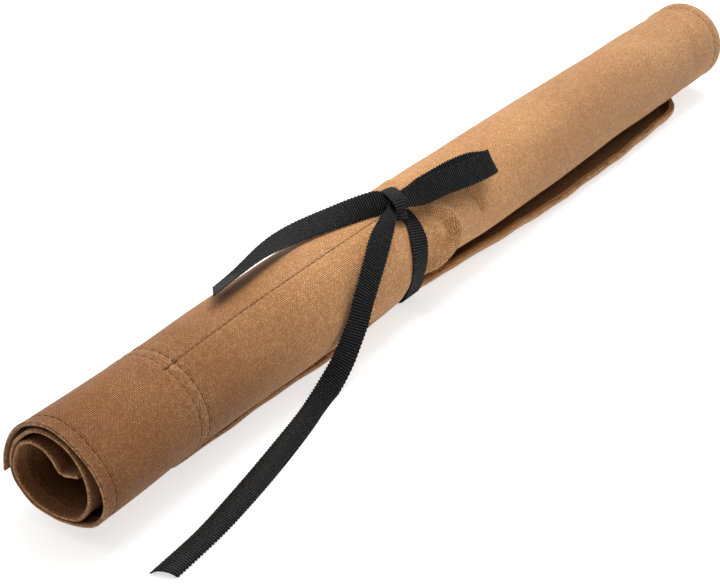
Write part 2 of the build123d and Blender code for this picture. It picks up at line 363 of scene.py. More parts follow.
def beside(x, y, path):
    """Signed distance from a crest, and how far along it, from 0 to 1."""
    best = np.full(x.shape, 1e9)
    signed = np.zeros(x.shape)
    share = np.zeros(x.shape)
    count = len(path) - 1
    for number, ((x0, y0), (x1, y1)) in enumerate(zip(path, path[1:])):
        length = math.hypot(x1 - x0, y1 - y0)
        ux, uy = (x1 - x0) / length, (y1 - y0) / length
        along = np.clip((x - x0) * ux + (y - y0) * uy, 0, length)
        dx = x - x0 - along * ux
        dy = y - y0 - along * uy
        distance = np.hypot(dx, dy)
        closer = distance < best
        best = np.where(closer, distance, best)
        signed = np.where(closer, np.where(dx * uy - dy * ux >= 0, distance, -distance), signed)
        share = np.where(closer, (number + along / length) / count, share)
    return signed, share


def beside_crest(s, x, crest):
    """The same for the crest of a sharp fold, which is given as x and angle."""
    return beside(x, s, [(place, length_at(angle)) for place, angle in crest])


def sewn(height, s, across, pucker, reach):
    """The height where the cloth is drawn in along a row of stitching, and puckers beside it."""
    wave = np.cos(2 * math.pi * s / STITCH)
    return height - 0.24 * bump(across, 0.75) + pucker * wave * bump(across, reach)


def relief(s, x):
    """How far the canvas stands out of its smooth section."""
    around = angle_at(s)
    height = undulation(s, x)
    outer = outer_turn(s)
    for place, angle, along, across, slant, size in SOFT_FOLDS:
        dx = x - place
        dy = np.radians(around - angle) * ROUND_RADIUS
        cosine = math.cos(math.radians(slant))
        sine = math.sin(math.radians(slant))
        height = height + outer * size * bump(dx * cosine + dy * sine, along) * bump(
            dy * cosine - dx * sine, across
        )
    for crest, size, width, depth, place, spread in SHARP_FOLDS:
        signed, share = beside_crest(s, x, crest)
        ends = np.sqrt(np.clip(4 * share * (1 - share), 0, 1)) * outer
        height = height + ends * (size * bump(signed, width) + depth * bump(signed - place, spread))
    pull = 1.1 + 0.9 * bump(around - 190, 30) + 0.3 * bump(around - 100, 30)
    height = height - pull * np.exp(-(((x - wrap_x(around)) / 9.5) ** 4)) * outer
    ring = look_up(around, FAR_RING)
    swelling = 0.8 * bump(x - ring, 2.2) - 0.7 * bump(x - ring - 5.5, 2.8)
    height = height + bump(around - 78, 42) * swelling
    height = height - 0.35 * bump(x - ring + 7, 4.5) + 0.15 * bump(x - HALF, 3.0)
    for seam in POCKET_SEAMS:
        height = sewn(height, s, x - seam, 0.03, 2.6)
    middle = sum(POCKET_SEAMS) / 2
    height = height + 0.20 * bump(x - middle, 1.3) + 0.16 * bump(x - middle - 5.2, 2.2)
    height = height + 0.16 * bump(x - middle + 5.4, 2.4)
    for rim in (-HALF + INSET, HALF - INSET):
        height = sewn(height, s, x - rim, 0.02, 2.4)
    height = height - 0.3 * bump(x - (HALF - INSET), 1.5)
    for divider in DIVIDERS:
        height = height - in_pockets(x) * (0.18 * bump(s - divider, 0.75) + 0.16 * bump(s - divider, 3.5))
    return height


def wrap_x(angle):
    """Where the middle of the ribbon's turn lies, which slants a little round the roll."""
    angle = np.mod(np.asarray(angle, float) + 80, 360) - 80
    places = (
        (-80, -40.5), (0, -40), (100, -39), (118, -39.5), (128, -40.0), (144, -41.8), (158, -43.4),
        (171, -44.0), (183, -44.4), (194, -43.6), (205, -41.8), (220, -39.6), (240, -38.4), (280, -40.5),
    )
    return look_up(angle, places)


def rubbing_highlight_and_shade(s, x):
    """How the cloth's colour is lifted or lowered. Above zero it is lightened: edges cracked pale, the
    pocket seams and fold crests partly cracked pale and partly given a painted highlight, and a
    painted highlight on the far ring's ridge and beside the first divider. Below zero, painted shade
    on the inner turns and in the first divider's groove."""
    around = angle_at(s)
    wear_and_painted_light = 0.8 * bump(panel_edge(s, x), 0.9)
    middle = sum(POCKET_SEAMS) / 2
    # Along and between the pocket seam rows: partly rubbing, partly painted highlight.
    wear_and_painted_light = wear_and_painted_light + 0.25 * bump(x - middle, 1.8) + 0.25 * bump(x - middle, 7.5)
    # Painted highlight on the far ring's ridge.
    wear_and_painted_light = wear_and_painted_light + 0.35 * bump(x - look_up(around, FAR_RING), 2.0) * bump(around - 78, 42)
    # Fold crests: partly cracked pale, partly painted highlight.
    for fold in SHARP_FOLDS:
        crest, size = fold[:2]
        signed = beside_crest(s, x, crest)[0]
        wear_and_painted_light = wear_and_painted_light + 0.4 * max(size, 0) * bump(signed, 1.5) * outer_turn(s)
    # Beside the first divider a painted highlight, and painted shade in its groove.
    divider = s - DIVIDERS[0]
    wear_and_painted_light = wear_and_painted_light + in_pockets(x) * (0.35 * bump(divider, 2.4) - 1.0 * bump(divider, 0.42))
    # Painted shade on the inner turns, fading out near the near rim.
    inner_shade = smoothstep((s - 128) / 20) * smoothstep((x + HALF - 5) / 26)
    return np.where(inner_shade > 0.02, -inner_shade, np.clip(wear_and_painted_light, -1, 1))


def section(s, x):
    """The smooth section: where distance s along the canvas lies in the YZ plane at x."""
    s = np.clip(s, 0, CANVAS)
    loose = 1 - smoothstep((x + HALF) / LOOSE)
    size = roll_radius(x) / BODY_RADIUS
    places = []
    for axis in (0, 1):
        near = np.interp(s, NEAR_ALONG, NEAR[:, axis])
        body = np.interp(s, BODY_ALONG, BODY[:, axis]) * size
        places.append(loose * near + (1 - loose) * body)
    y, z = places
    # Each turn lies on the one outside it: underneath, where the roll lies on its flap, and where
    # the tied cloth is drawn flat above the flap's free edge.
    turn = BODY_STEP * np.clip(s / TURN - 0.75, 0, 3)
    z = -held_in(-z, AXIS - FLAP_ROOM - turn, 24)
    flat = look_up(x, FLAT_SIDE)
    depth = y * FLAT_WAY[0] + z * FLAT_WAY[1]
    push = held_in(depth, flat - turn, 12) - depth
    return y + push * FLAT_WAY[0], z + push * FLAT_WAY[1]


def held_in(depth, limit, sharp):
    """A depth that bends smoothly to stay under a limit."""
    positive = np.maximum(depth, 1e-3)
    return np.where(depth > 0, (positive**-sharp + limit**-sharp) ** (-1 / sharp), depth)


def canvas_point(s, x, offset):
    """A point of the rolled canvas, offset outwards from its outer face."""
    def base(s, x):
        y, z = section(s, x)
        return np.stack([x, y, z + AXIS], -1)

    step = 0.4
    along_s = base(np.clip(s + step, 0, CANVAS), x) - base(np.clip(s - step, 0, CANVAS), x)
    along_x = base(s, x + step) - base(s, x - step)
    normal = np.cross(along_s, along_x)
    normal /= np.linalg.norm(normal, axis=-1, keepdims=True)
    return base(s, x) + normal * (relief(s, x) + offset)[..., None]


def fold_thickness(distance):
    """The canvas is doubled where it turns round its own edge, and puffs out a little there."""
    doubled = (CLOTH + GAP) * (1 - smoothstep((distance - FOLD) / 0.5))
    return CLOTH + doubled + 0.16 * bump(distance, 1.5)


def panel_edge(s, x):
    return np.minimum(np.minimum(s, CANVAS - s), np.minimum(x + HALF, HALF - x))


def panel_top(s, x):
    return 0.14 * bump(panel_edge(s, x), 1.5)


def panel_bottom(s, x):
    return -fold_thickness(panel_edge(s, x))


def layer(name, s_range, x_range, depth):
    """A single layer of canvas sewn to the inside of the main panel."""
    return shell(
        name,
        edge_dense(*s_range, HIDDEN_STEPS[0]),
        edge_dense(*x_range, HIDDEN_STEPS[1]),
        canvas_point,
        lambda s, x: -depth,
        lambda s, x: -depth - CLOTH,
    )


def build_canvas():
    s_values = merged(edge_dense(0, 150, 1.1, extra=DIVIDERS[:3]), edge_dense(150, CANVAS, 1.6))
    x_values = merged(
        edge_dense(-HALF, HALF, 2.0, extra=(*POCKET_SEAMS, -HALF + INSET, HALF - INSET)),
        np.arange(-38, 8, 0.8),
    )
    panel = shell("main_panel_cloth", s_values, x_values, canvas_point, panel_top, panel_bottom, rubbing_highlight_and_shade)
    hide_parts("main_panel")
    pieces = [panel]
    inner = CLOTH + GAP
    side = HALF - HEM - 0.1
    plans = (
        ("near_hem", (FOLD, CANVAS - FOLD), (-HALF + FOLD - 0.1, -HALF + HEM), inner),
        ("far_hem", (FOLD, CANVAS - FOLD), (HALF - HEM, HALF - FOLD + 0.1), inner),
        ("outer_edge_hem", (FOLD - 0.1, HEM), (-side, side), inner),
        ("inner_edge_hem", (CANVAS - HEM, CANVAS - FOLD + 0.1), (-side, side), inner),
        ("pocket_panel", (HEM + 0.3, CANVAS - HEM - 0.3), (POCKET_SEAMS[0] - 2, POCKET_TOP), inner),
        ("pocket_top_hem", (HEM + 0.3, CANVAS - HEM - 0.3), (POCKET_TOP - HEM, POCKET_TOP), 2 * inner),
    )
    for name, s_range, x_range, depth in plans:
        piece = layer(f"{name}_cloth", s_range, x_range, depth)
        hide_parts(name)
        pieces.append(piece)
    for piece in pieces:
        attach(piece, "roll")
        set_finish(piece, "waxed_canvas")
    return pieces


# ------------------------------------------------------------------ the tie flap
FLAP_START = -184.0
FLAP_STOP = 200.5
FLAP_CLOTH = 1.3
FLAP_ROUND = 28.4                        # arc under the back of the roll
FLAP_FLAT = 9.5
FLAP_LIP = 8.0                           # the curl at its free edge
FLAP = FLAP_ROUND + FLAP_FLAT + FLAP_LIP
LIP_RADIUS = 6.2
# How far the free edge comes out from under the roll: x, and distance from the axis plane.
LIP_EDGE = (
    (-184, 11.0), (-140, 12.0), (-94, 13.6), (-70, 12.4), (-57, 11.6), (-40, 10.4), (-30, 11.3),
    (-20, 12.4), (-6, 14.0), (4, 13.9), (15, 15.4), (32, 17.4), (55, 19.0), (81, 19.8), (129, 20.3),
    (154, 20.1), (177, 19.0), (188, 17.4), (194, 15.4), (198, 12.8), (200.5, 10.0),
)


def flap_point(q, x, offset):
    """A point of the tie flap, at distance q from its seam, offset outwards."""
    reach = sum(look_up(x + shift, LIP_EDGE) for shift in (-2, 0, 2)) / 3
    reach = reach + 0.25 * np.sin(x / 9.0) + 0.2 * np.sin(x / 4.1 + 1)
    tied = bump(x - WRAP_X, 11)
    turn = FLAP_LIP / LIP_RADIUS * (1 + 0.10 * np.sin(x / 23.0 + 0.7) + 0.45 * tied)
    flat_end = -(reach - LIP_RADIUS * np.sin(turn))
    radius = roll_radius(x) + 0.9 - 1.1 * tied
    start = math.radians(OUTER_EDGE - 2)
    angle = start + (-math.pi / 2 - start) * np.clip(q / FLAP_ROUND, 0, 1)
    limit = AXIS - 0.15
    y_round = radius * np.cos(angle)
    z_round = -held_in(-radius * np.sin(angle), limit, 30)
    flatness = smoothstep((q - 0.55 * FLAP_ROUND) / (0.45 * FLAP_ROUND))
    out_y = np.cos(angle) * (1 - flatness)
    out_z = np.sin(angle) * (1 - flatness) - flatness
    y_flat = flat_end * np.clip((q - FLAP_ROUND) / FLAP_FLAT, 0, 1)
    curl = np.clip((q - FLAP_ROUND - FLAP_FLAT) / FLAP_LIP, 0, 1) * turn
    y_lip = flat_end - LIP_RADIUS * np.sin(curl)
    z_lip = -limit + LIP_RADIUS * (1 - np.cos(curl))
    rounded = q < FLAP_ROUND
    lipped = q > FLAP_ROUND + FLAP_FLAT
    y = np.where(rounded, y_round, np.where(lipped, y_lip, y_flat))
    z = np.where(rounded, z_round, np.where(lipped, z_lip, -limit))
    normal_y = np.where(rounded, out_y, np.where(lipped, -np.sin(curl), 0))
    normal_z = np.where(rounded, out_z, np.where(lipped, -np.cos(curl), -1))
    size = np.hypot(normal_y, normal_z)
    return np.stack([x, y + normal_y / size * offset, z + normal_z / size * offset + AXIS], -1)


def flap_edge(q, x):
    return np.minimum(FLAP - q, np.minimum(x - FLAP_START, FLAP_STOP - x))


def flap_bottom(q, x):
    """The flap's inner face: its folded edge is thick, and its stitches sit in a groove."""
    return -FLAP_CLOTH - 1.9 * bump(flap_edge(q, x) - 1.7, 2.1) + 0.25 * bump(q - (FLAP - INSET), 0.6)


# Pale rubbing along the flap's rim and a little all over; below zero, painted shade on the inner face
# near the free edge, away from the rim, where the roll shades it.
def flap_wear_and_shade(q, x):
    rim = bump(flap_edge(q, x), 2.4)
    shadowed = 0.6 * smoothstep((q - FLAP + 22) / 10) * (1 - bump(flap_edge(q, x), 3.2))
    return 0.9 * rim + 0.1 - shadowed


def build_flap():
    flap = shell(
        "tie_flap_cloth",
        edge_dense(0, FLAP, 0.8, extra=(FLAP - INSET,)),
        edge_dense(FLAP_START, FLAP_STOP, 2.0),
        flap_point, lambda q, x: 0, flap_bottom, flap_wear_and_shade,
    )
    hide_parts("tie_flap")
    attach(flap, "roll")
    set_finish(flap, "waxed_canvas")
    return flap


# ------------------------------------------------------------------ stitching
def stitch_row(name, node, line, outwards, pitch=STITCH, length=3.0, size=0.17):
    """Separate stitches of thread along a line of points. Each dips into the cloth at its ends."""
    along = distances(line)
    count = max(1, int(along[-1] / pitch))
    ring = np.radians(np.arange(0, 360, 60))
    sides = len(ring)
    dip = np.array([-0.22, 0.0, 0.06, 0.08, 0.06, 0.0, -0.22])
    thick = np.array([0.7, 0.95, 1, 1, 1, 0.95, 0.7]) * size
    vertices = []
    faces = []
    for number in range(count):
        middle = (number + 0.5) * along[-1] / count
        places = middle + np.linspace(-length / 2, length / 2, len(dip))
        centre = np.stack([np.interp(places, along, axis) for axis in line.T], 1)
        out = np.stack([np.interp(places, along, axis) for axis in outwards.T], 1)
        out /= np.linalg.norm(out, axis=1, keepdims=True)
        forward = np.gradient(centre, axis=0)
        forward /= np.linalg.norm(forward, axis=1, keepdims=True) + 1e-12
        side = np.cross(forward, out)
        start = len(vertices)
        for k in range(len(dip)):
            for angle in ring:
                vertices.append(
                    centre[k] + out[k] * (dip[k] + thick[k] * 0.75 * math.sin(angle))
                    + side[k] * thick[k] * math.cos(angle)
                )
        for k in range(len(dip) - 1):
            for r in range(sides):
                a = start + sides * k + r
                b = start + sides * k + (r + 1) % sides
                faces.append([a, b, b + sides, a + sides])
        last = start + sides * (len(dip) - 1)
        for first, flip in ((start, True), (last, False)):
            cap = [[first, first + 1, first + 2, first + 3], [first, first + 3, first + 4, first + 5]]
            faces += [corner[::-1] for corner in cap] if flip else cap
    piece = mesh_object(name, np.array(vertices) * MM, np.array(faces))
    if node:
        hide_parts(node)
    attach(piece, "roll")
    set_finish(piece, "thread")
    return piece


def cloth_line(s, x, offset=0.0, surface=canvas_point):
    """A line of points on the cloth and the outward directions along it."""
    s = np.asarray(s, float) + np.zeros(np.broadcast(s, x).shape)
    x = np.asarray(x, float) + np.zeros_like(s)
    line = surface(s, x, np.full_like(s, offset))
    return line, surface(s, x, np.full_like(s, offset + 1)) - line


def build_stitching():
    rows = []
    all_s = np.arange(3, CANVAS - 3, 0.6)
    pocket_s = np.arange(HEM + 1, CANVAS - HEM - 1, 0.6)
    all_x = np.arange(-HALF + 6, HALF - 6, 0.8)
    pocket_x = np.arange(POCKET_SEAMS[0] - 2.4, POCKET_TOP, 0.8)
    tack_x = np.arange(POCKET_SEAMS[0] - 2.0, POCKET_SEAMS[1] + 2.5, 0.4)
    rings = (
        ("near_hem_thread", all_s, -HALF + INSET),
        ("far_hem_thread", all_s, HALF - INSET),
        ("pocket_seam_thread_1", pocket_s, POCKET_SEAMS[0]),
        ("pocket_seam_thread_2", pocket_s, POCKET_SEAMS[1]),
    )
    for node, s, x in rings:
        rows.append(stitch_row(f"{node}_stitches", node, *cloth_line(s, x)))
    inside_line, inside_out = cloth_line(all_s, -HALF + INSET, -2 * CLOTH - GAP)
    rows.append(stitch_row("near_hem_stitches_inside", None, inside_line, -inside_out))
    for number, s in enumerate(DIVIDERS):
        node = f"divider_thread_{number + 1}"
        rows.append(stitch_row(f"{node}_stitches", node, *cloth_line(s, pocket_x)))
        rows.append(stitch_row(f"{node}_back_tack", None, *cloth_line(s + 0.34, tack_x, 0.12)))
    edges = (("outer_edge_thread", INSET), ("inner_edge_thread", CANVAS - INSET))
    for node, s in edges:
        rows.append(stitch_row(f"{node}_stitches", node, *cloth_line(s, all_x)))
    top_line, top_out = cloth_line(pocket_s, POCKET_TOP - INSET, -3 * (CLOTH + GAP))
    rows.append(stitch_row("pocket_top_thread_stitches", "pocket_top_thread", top_line, -top_out))
    flap_x = np.arange(FLAP_START + INSET, FLAP_STOP - INSET, 0.8)
    flap_line, flap_out = cloth_line(FLAP - INSET, flap_x, -FLAP_CLOTH + 0.15, flap_point)
    rows.append(stitch_row("flap_hem_thread_stitches", "flap_hem_thread", flap_line, -flap_out))
    return rows


# ------------------------------------------------------------------ ribbon
# A moving piece of ribbon keeps its root in the knot, and would bend just past its hinge this way.
# Only the names are read here, to keep these pieces apart from the roll.
BENDS = {"loop": (1, 0, 0), "back_tail": (-1, 0, 0), "front_tail": (-0.981, -0.193, 0)}


def ribbon_strip(name, line, facing, body, widths=((0, 1),), curls=((0, 0),), cut=0.0):
    """A flat ribbon along evenly spaced points. facing is where its outer face looks at each of
    them. widths and curls are (distance, value) pairs: how much of its width is left where it is
    gathered, and how far it curls across, one over the radius. cut is how much shorter one edge
    ends. Its cross ribs and its serrated edges are part of its shape."""
    along = distances(line)
    forward = np.gradient(line, axis=0)
    forward /= np.linalg.norm(forward, axis=1, keepdims=True)
    out = facing - forward * (facing * forward).sum(1, keepdims=True)
    out /= np.linalg.norm(out, axis=1, keepdims=True)
    side = np.cross(out, forward)

    def slanted(a, b):
        short = abs(cut) * (0.5 + math.copysign(1, cut) * b / RIBBON)
        return a - short * smoothstep((a - along[-1] + 24) / 24), b

    def point(a, b, offset):
        a = slanted(a, b)[0]
        spine = np.stack([np.interp(a, along, axis) for axis in line.T], -1)
        across_way = np.stack([np.interp(a, along, axis) for axis in side.T], -1)
        out_way = np.stack([np.interp(a, along, axis) for axis in out.T], -1)
        border = smoothstep((np.abs(b) / (RIBBON / 2) - 0.86) / 0.14)
        across = b + np.sign(b) * 0.2 * border * np.cos(2 * math.pi * a / (1.5 * RIB))
        across = across * look_up(a, widths)
        bend = look_up(a, curls) + 1e-5
        turn = across * bend
        sideways = np.sin(turn) / bend + offset * np.sin(turn)
        lift = (np.cos(turn) - 1) / bend + offset * np.cos(turn)
        place = spine + across_way * sideways[..., None] + out_way * lift[..., None]
        place[..., 2] = np.maximum(place[..., 2], 0.02)
        return place

    def thickness(a, b):
        return RIBBON_THICK / 2 * (1 + 0.34 * np.cos(2 * math.pi * slanted(a, b)[0] / RIB))

    columns = RIBBON / 2 * np.array(
        [-1, -0.985, -0.95, -0.9, -0.7, -0.4, 0, 0.4, 0.7, 0.9, 0.95, 0.985, 1]
    )
    piece = shell(name, along, columns, point, thickness, lambda a, b: -thickness(a, b), place=slanted)
    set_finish(piece, "ribbon")
    if body in BENDS:
        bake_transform(piece)
    else:
        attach(piece, body)
    return piece


def facing_along(line, facing):
    """Directions given at even distances, blended into one for each point of the line."""
    along = distances(line)
    stops = np.linspace(0, along[-1], len(facing))
    blend = stops[1] / 2
    return np.stack([
        sum(np.interp(along + shift * blend, stops, axis) for shift in (-1, -0.5, 0, 0.5, 1)) / 5
        for axis in np.array(facing, float).T
    ], 1)


def strip_through(name, stops, body, widths=((0, 1),), curls=((0, 0),)):
    """A ribbon through stops: each is a point and the way the ribbon faces there. A distance in
    widths that is below zero is measured from the ribbon's end."""
    table = smooth_curve([(*point, *facing) for point, facing in stops], RIB / 5)
    total = distances(table[:, :3])[-1]
    widths = [(place + total if place < 0 else place, width) for place, width in widths]
    print(name, "length", round(total, 1), "mm")
    return ribbon_strip(name, table[:, :3], table[:, 3:], body, widths, curls), total


# The routes of the ribbon's two ends, in millimetres, and the way the ribbon faces along them.
BACK_TAIL_ROUTE = [
    (-43.5, -5.2, 46.9), (-48.0, -3.6, 48.0), (-56, -0.6, 48.2), (-67, 3.2, 48.0), (-77, 6.8, 47.6),
    (-87, 9.8, 46.9), (-98, 10.8, 46.8), (-110, 9.6, 47.2), (-122, 7.8, 47.4), (-134, 6.8, 47.0),
    (-145.0, 6.3, 46.4),
]
BACK_TAIL_FACING = [
    (-0.5, -0.62, 0.6), (-0.42, -0.6, 0.68), (-0.14, -0.36, 0.93), (0, -0.3, 0.95), (0, 0.06, 1),
    (0, 0.44, 0.9), (0.0, 0.5, 0.87), (0, 0.5, 0.87),
]
FRONT_TAIL_ROUTE = [
    (-45.4, -7.4, 46.7), (-51, -10.6, 45.8), (-57, -12.6, 44.6), (-65.3, -15.5, 42.3),
    (-71.9, -18.2, 39.5), (-78, -20.5, 36.5), (-83.6, -22.4, 33.2), (-89, -24, 29.3),
    (-93.1, -24.8, 23.2), (-97.3, -24.4, 16.2), (-102.5, -24.4, 9.5), (-109.5, -24.6, 4.6),
    (-118.6, -26.4, 2.2), (-131.8, -30.0, 1.9), (-152.7, -33.9, 1.9), (-172.3, -37.2, 1.9),
    (-190, -39.8, 1.9), (-204.5, -41.7, 1.9), (-218, -42.7, 1.9), (-231.0, -43.6, 1.9),
]
FRONT_TAIL_FACING = [
    (0.0, -0.5, 0.86), (0.0, -0.65, 0.76), (0.0, -0.77, 0.64), (-0.07, -0.86, 0.51),
    (-0.18, -0.9, 0.39), (-0.31, -0.87, 0.38), (-0.33, -0.78, 0.53), (-0.32, -0.67, 0.67),
    (-0.28, -0.55, 0.79), (-0.2, -0.4, 0.9), (-0.12, -0.25, 0.96), (-0.05, -0.12, 0.99),
    (0, 0.02, 1), (0, 0.03, 1), (0, 0, 1),
]


def build_free_ends():
    ends = (
        ("back_tail", "ribbon_back_tail", BACK_TAIL_ROUTE, BACK_TAIL_FACING,
         ((0, 0.7), (6, 1)), ((0, 0.05), (40, 0.03), (95, 0.0)), -11.0),
        ("front_tail", "ribbon_front_tail", FRONT_TAIL_ROUTE, FRONT_TAIL_FACING,
         ((0, 0.34), (5, 0.45), (13, 0.75), (22, 0.96), (28, 1)),
         ((0, 0.16), (12, 0.03), (60, 0.0), (80, 0.06), (100, 0.15), (204, 0.15)), 3.0),
    )
    pieces = []
    for body, node, route, facing, widths, curls, cut in ends:
        line = nurbs_line(route, RIB / 5)
        out = facing_along(line, facing)
        piece = ribbon_strip(f"{node}_grosgrain", line, out, body, widths, curls, cut)
        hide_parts(node)
        pieces.append(piece)
    return pieces


def on_canvas(angle, height):
    """A point of the ribbon's turn, on the canvas at this angle."""
    s, x = length_at(angle), float(wrap_x(angle))
    return tuple(canvas_point(np.array([s]), np.array([x]), np.array([height]))[0])


def outward(angle):
    """The way out from the roll's axis at this angle, in degrees."""
    return (0, math.cos(math.radians(angle)), math.sin(math.radians(angle)))


def build_wrap():
    """The ribbon's turn round the roll: over the back from the knot, under the flap, and up."""
    stops = [(on_canvas(angle, 0.35), outward(angle)) for angle in np.arange(99, -12, -6.0)]
    radius = float(roll_radius(np.array(WRAP_X))) + 0.2
    for angle in np.arange(-16, -80, -7.0):
        way = outward(angle)
        height = max(radius * way[2], 0.5 - AXIS) + AXIS
        stops.append(((float(wrap_x(angle)), radius * way[1], height), way))
    stops += [
        ((-39.5, 0.5, 0.5), (0, 0, -1)), ((-38.2, -4.0, 0.5), (0, -0.05, -1)),
        ((-37.0, -8.0, 0.9), (0, -0.3, -0.95)), ((-36.6, -10.4, 2.3), (0, -0.65, -0.75)),
        ((-37.2, -11.9, 4.4), (0, -0.85, -0.53)), ((-38.4, -13.5, 7.1), (0, -0.87, -0.5)),
        ((-40.0, -15.3, 10.2), (0, -0.88, -0.47)),
    ]
    stops += [(on_canvas(angle, 0.5), outward(angle)) for angle in np.arange(202, 110, -6.0)]
    piece, total = strip_through("ribbon_wrap_grosgrain", stops, "roll",
                                 widths=((0, 0.8), (8, 1), (-14, 1), (-2, 0.62)))
    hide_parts("ribbon_wrap")
    return piece


KNOT_ANGLE = 107
KNOT_RADIUS = 22.4                       # of the canvas under the knot


def knot_point(along, around, height):
    """A place near the knot: along the roll, round it towards the -Y side, and above it."""
    angle = math.radians(KNOT_ANGLE) + around / ROUND_RADIUS
    radius = KNOT_RADIUS + height
    return (WRAP_X + along, radius * math.cos(angle), radius * math.sin(angle) + AXIS)


def knot_facing(along, around, up):
    """A direction near the knot, in the same terms."""
    angle = math.radians(KNOT_ANGLE)
    return (along, -around * math.sin(angle) + up * math.cos(angle),
            around * math.cos(angle) + up * math.sin(angle))


def build_knot():
    """The half bow's knot, from strips of ribbon that fold round each other. Each stop is a place
    and a facing, both along the roll, round it, and up from it."""
    strips = (
        ("ribbon_knot_band", 0.70, 0.06, (
            ((2.6, -8.4, 0.8), (0, -1, 0.1)), ((2.2, -6.8, 3.8), (0.05, -0.75, 0.65)),
            ((0.6, -4.4, 5.5), (0, -0.4, 0.92)), ((-1.0, -1.6, 6.2), (-0.1, -0.05, 1)),
            ((-2.3, 1.3, 6.0), (-0.15, 0.35, 0.92)), ((-2.9, 3.2, 4.6), (-0.1, 0.85, 0.5)),
            ((-2.9, 3.7, 2.6), (0, 1, 0)), ((-2.6, 3.3, 0.8), (0, 0.95, -0.2)))),
        ("ribbon_knot_core", 0.85, 0.08, (
            ((-6.0, -1.6, 2.2), (-0.4, 0.1, 0.9)), ((-3.0, -0.8, 4.2), (-0.2, 0.2, 0.97)),
            ((1.0, 0.2, 4.6), (0.1, 0.3, 0.95)), ((5.0, 0.8, 3.0), (0.4, 0.3, 0.87)))),
        ("ribbon_knot_under", 0.62, 0.12, (
            ((-1.0, 0.8, 2.6), (0, 0.3, 0.95)), ((-2.0, 2.8, 2.8), (0, 0.45, 0.9)),
            ((-3.0, 4.8, 1.9), (0, 0.6, 0.8)), ((-3.8, 6.6, 0.6), (0, 0.5, 0.85)))),
    )
    pieces = []
    for name, width, curl, stops in strips:
        placed = [(knot_point(*place), knot_facing(*facing)) for place, facing in stops]
        pieces.append(strip_through(name, placed, "roll", ((0, width),), ((0, curl),))[0])
    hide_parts("ribbon_knot")
    return pieces


def build_loop():
    """The bow's loop: out along the roll, a tight fold, and back behind itself."""
    front = (0.05, -0.80, 0.60)
    back = (-0.05, 0.80, -0.60)
    stops = (
        ((-41.5, -8.2, 47.0), (0, -0.6, 0.8)), ((-36.0, -10.4, 47.3), (0.0, -0.7, 0.7)),
        ((-29.5, -12.2, 47.4), front), ((-21, -13.7, 47.5), front), ((-12, -15.2, 46.9), front),
        ((-3.5, -16.4, 46.1), front), ((4.8, -17.2, 45.5), front), ((10.8, -17.5, 45.3), front),
        ((13.6, -17.1, 45.0), (0.55, -0.68, 0.5)), ((14.6, -16.3, 44.6), (1, 0, 0)),
        ((13.4, -15.6, 44.4), (0.5, 0.7, -0.5)), ((9.8, -15.2, 45.3), back),
        ((3.6, -13.9, 46.8), back), ((-4.5, -12.4, 47.4), back), ((-13.5, -11.2, 47.4), back),
        ((-22, -10.2, 46.9), back), ((-30.5, -9.0, 46.5), back), ((-37, -8.0, 46.6), (0, 0.7, -0.7)),
        ((-41.5, -7.4, 46.5), (0, 0.6, -0.8)),
    )
    piece, total = strip_through("ribbon_loop_grosgrain", stops, "loop",
                                 ((0, 0.7), (10, 1), (-14, 1), (-5, 0.7), (-0.1, 0.5)))
    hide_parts("ribbon_loop")
    return piece


def build_anchor():
    """The square of stitches that holds the ribbon to the roll at the back."""
    half = 3.5
    corners = ((-half, -half), (half, -half), (half, half), (-half, half), (-half, -half))
    line = []
    for (x0, a0), (x1, a1) in zip(corners, corners[1:]):
        for share in np.linspace(0, 1, 12, endpoint=False):
            x = WRAP_X - 2.0 + x0 + (x1 - x0) * share
            around = a0 + (a1 - a0) * share
            angle = around / 23.0
            radius = float(roll_radius(np.array(x))) - 0.05
            line.append((x, radius * math.cos(angle), radius * math.sin(angle) + AXIS))
    line = np.array(line)
    out = line - np.array([0, 0, AXIS])
    out[:, 0] = 0
    return stitch_row("ribbon_anchor_stitches", "ribbon_anchor_thread", line, out, pitch=2.3, length=1.9)


# ------------------------------------------------------------------ materials
def new_material(name):
    material = bpy.data.materials.new(name)
    material.use_nodes = True
    return material, material.node_tree.nodes["Principled BSDF"]


def set_inputs(node, values):
    for name, value in values.items():
        node.inputs[name].default_value = value


def math_node(tree, operation, first, second=None):
    node = tree.nodes.new("ShaderNodeMath")
    node.operation = operation
    for socket, value in zip(node.inputs, (first, second)):
        if value is None:
            continue
        if isinstance(value, (int, float)):
            socket.default_value = value
        else:
            tree.links.new(value, socket)
    return node.outputs[0]


def add(tree, first, second):
    return math_node(tree, "ADD", first, second)


def multiply(tree, first, second):
    return math_node(tree, "MULTIPLY", first, second)


def noise(tree, coordinates, scale, detail=2.0, roughness=0.5):
    node = tree.nodes.new("ShaderNodeTexNoise")
    set_inputs(node, {"Scale": scale, "Detail": detail, "Roughness": roughness})
    tree.links.new(coordinates, node.inputs["Vector"])
    return node.outputs["Fac"]


def stretched_noise(tree, coordinates, scale, detail, roughness=0.5):
    """Noise with a scale of its own in each direction."""
    return noise(tree, scaled(tree, coordinates, (*scale, 1)), 1.0, detail, roughness)


def ramp(tree, value, stops):
    node = tree.nodes.new("ShaderNodeValToRGB")
    elements = node.color_ramp.elements
    while len(elements) < len(stops):
        elements.new(0.5)
    for element, (place, colour) in zip(elements, stops):
        element.position = place
        element.color = (*colour, 1)
    tree.links.new(value, node.inputs["Fac"])
    return node.outputs["Color"]


def mix_colour(tree, blend_type, share, first, second):
    node = tree.nodes.new("ShaderNodeMix")
    node.data_type = "RGBA"
    node.blend_type = blend_type
    for socket, value in ((node.inputs[0], share), (node.inputs[6], first), (node.inputs[7], second)):
        if isinstance(value, (int, float)):
            socket.default_value = value
        elif isinstance(value, tuple):
            socket.default_value = (*value, 1)
        else:
            tree.links.new(value, socket)
    return node.outputs[2]


